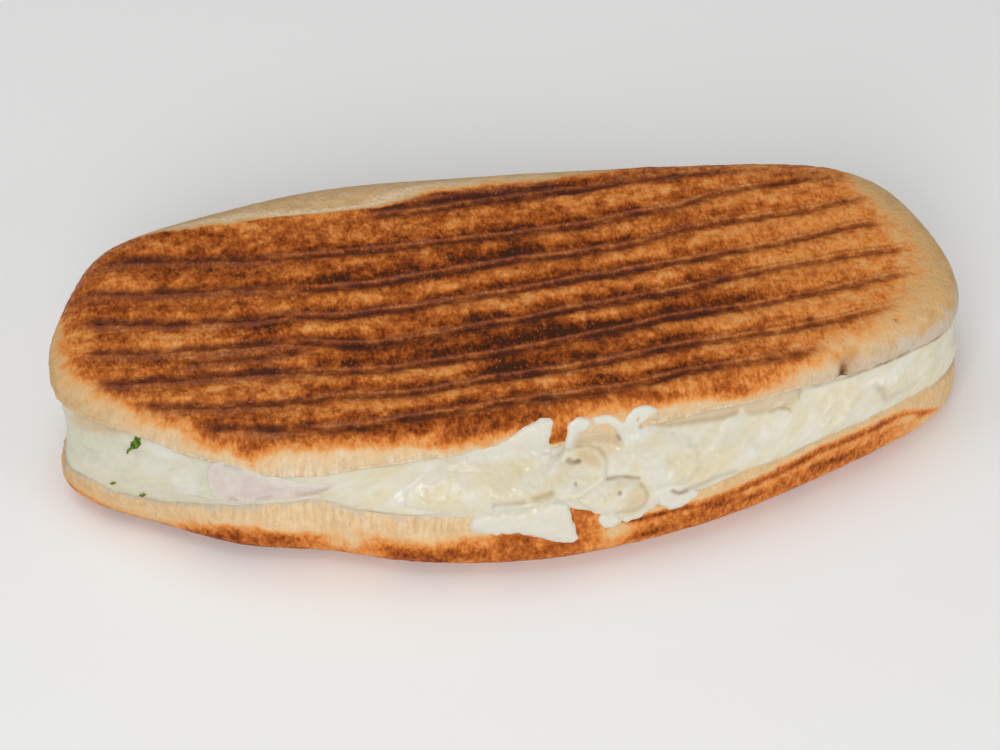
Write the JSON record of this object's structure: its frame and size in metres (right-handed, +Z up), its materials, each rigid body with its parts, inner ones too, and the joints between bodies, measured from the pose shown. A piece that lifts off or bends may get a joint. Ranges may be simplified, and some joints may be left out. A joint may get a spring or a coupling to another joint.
{
  "type": "grilled cheese sandwich",
  "caption": "Long flat roll pressed on a ribbed grill, with melted cheese run out along its open front and a thin slice of ham showing.",
  "frame": {"origin": "under the middle of the sandwich, on the surface it rests on", "axes": "+X along the roll, -Y towards the open front where the cheese has run out, +Z up"},
  "size_m": [0.225, 0.1088, 0.04],
  "materials": {
    "bread": "dry toasted crust, pale tan at the rim, golden to dark brown where pressed",
    "cheese": "soft melted cheese, creamy white, slightly shiny",
    "ham": "moist pale pink slice"
  },
  "bodies": {
    "root": {"bottom_bread": "bread", "cheese_filling": "cheese", "ham_slice": "ham", "top_bread": "bread"}
  },
  "joints": []
}
